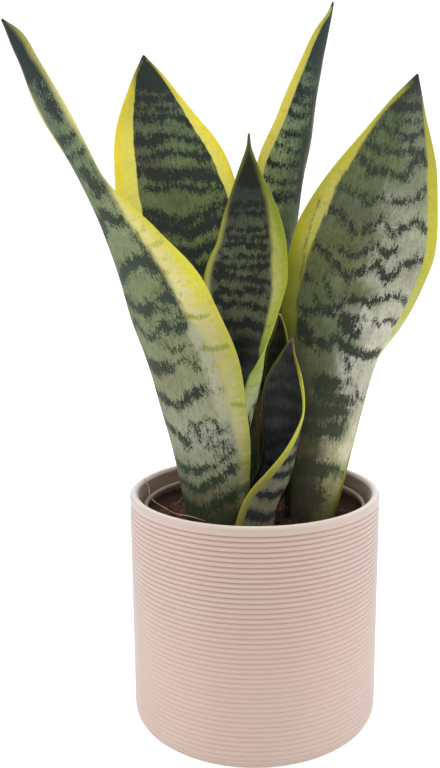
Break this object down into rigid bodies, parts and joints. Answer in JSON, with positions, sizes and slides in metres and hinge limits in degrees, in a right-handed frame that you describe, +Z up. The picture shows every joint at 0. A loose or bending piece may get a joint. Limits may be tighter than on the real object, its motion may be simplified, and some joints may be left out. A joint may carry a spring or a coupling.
{
  "type": "potted snake plant",
  "caption": "Variegated snake plant with upright sword-shaped leaves, potted in a nursery pot inside a ribbed ceramic cover pot.",
  "frame": {"origin": "middle of the cover pot's flat base, where it meets the floor", "axes": "+Z up along the pot's axis, -Y towards the viewer of the picture, +X to that viewer's right"},
  "size_m": [0.2174, 0.1338, 0.3871],
  "materials": {
    "cover_pot": "satin blush-pink glaze",
    "nursery_pot": "matte taupe plastic",
    "soil": "loose reddish-brown coir potting mix",
    "rhizome": "pale tan creeping stem",
    "leaf": "waxy green with dark cross-bands and yellow margins"
  },
  "bodies": {
    "root": {"pot": "cover_pot", "nursery_pot": "nursery_pot", "soil": "soil", "rhizome": "rhizome", "leaf_left": "leaf", "leaf_back_left": "leaf", "leaf_centre": "leaf", "leaf_back": "leaf", "leaf_right": "leaf", "leaf_small_front": "leaf", "leaf_inner": "leaf"}
  },
  "joints": []
}
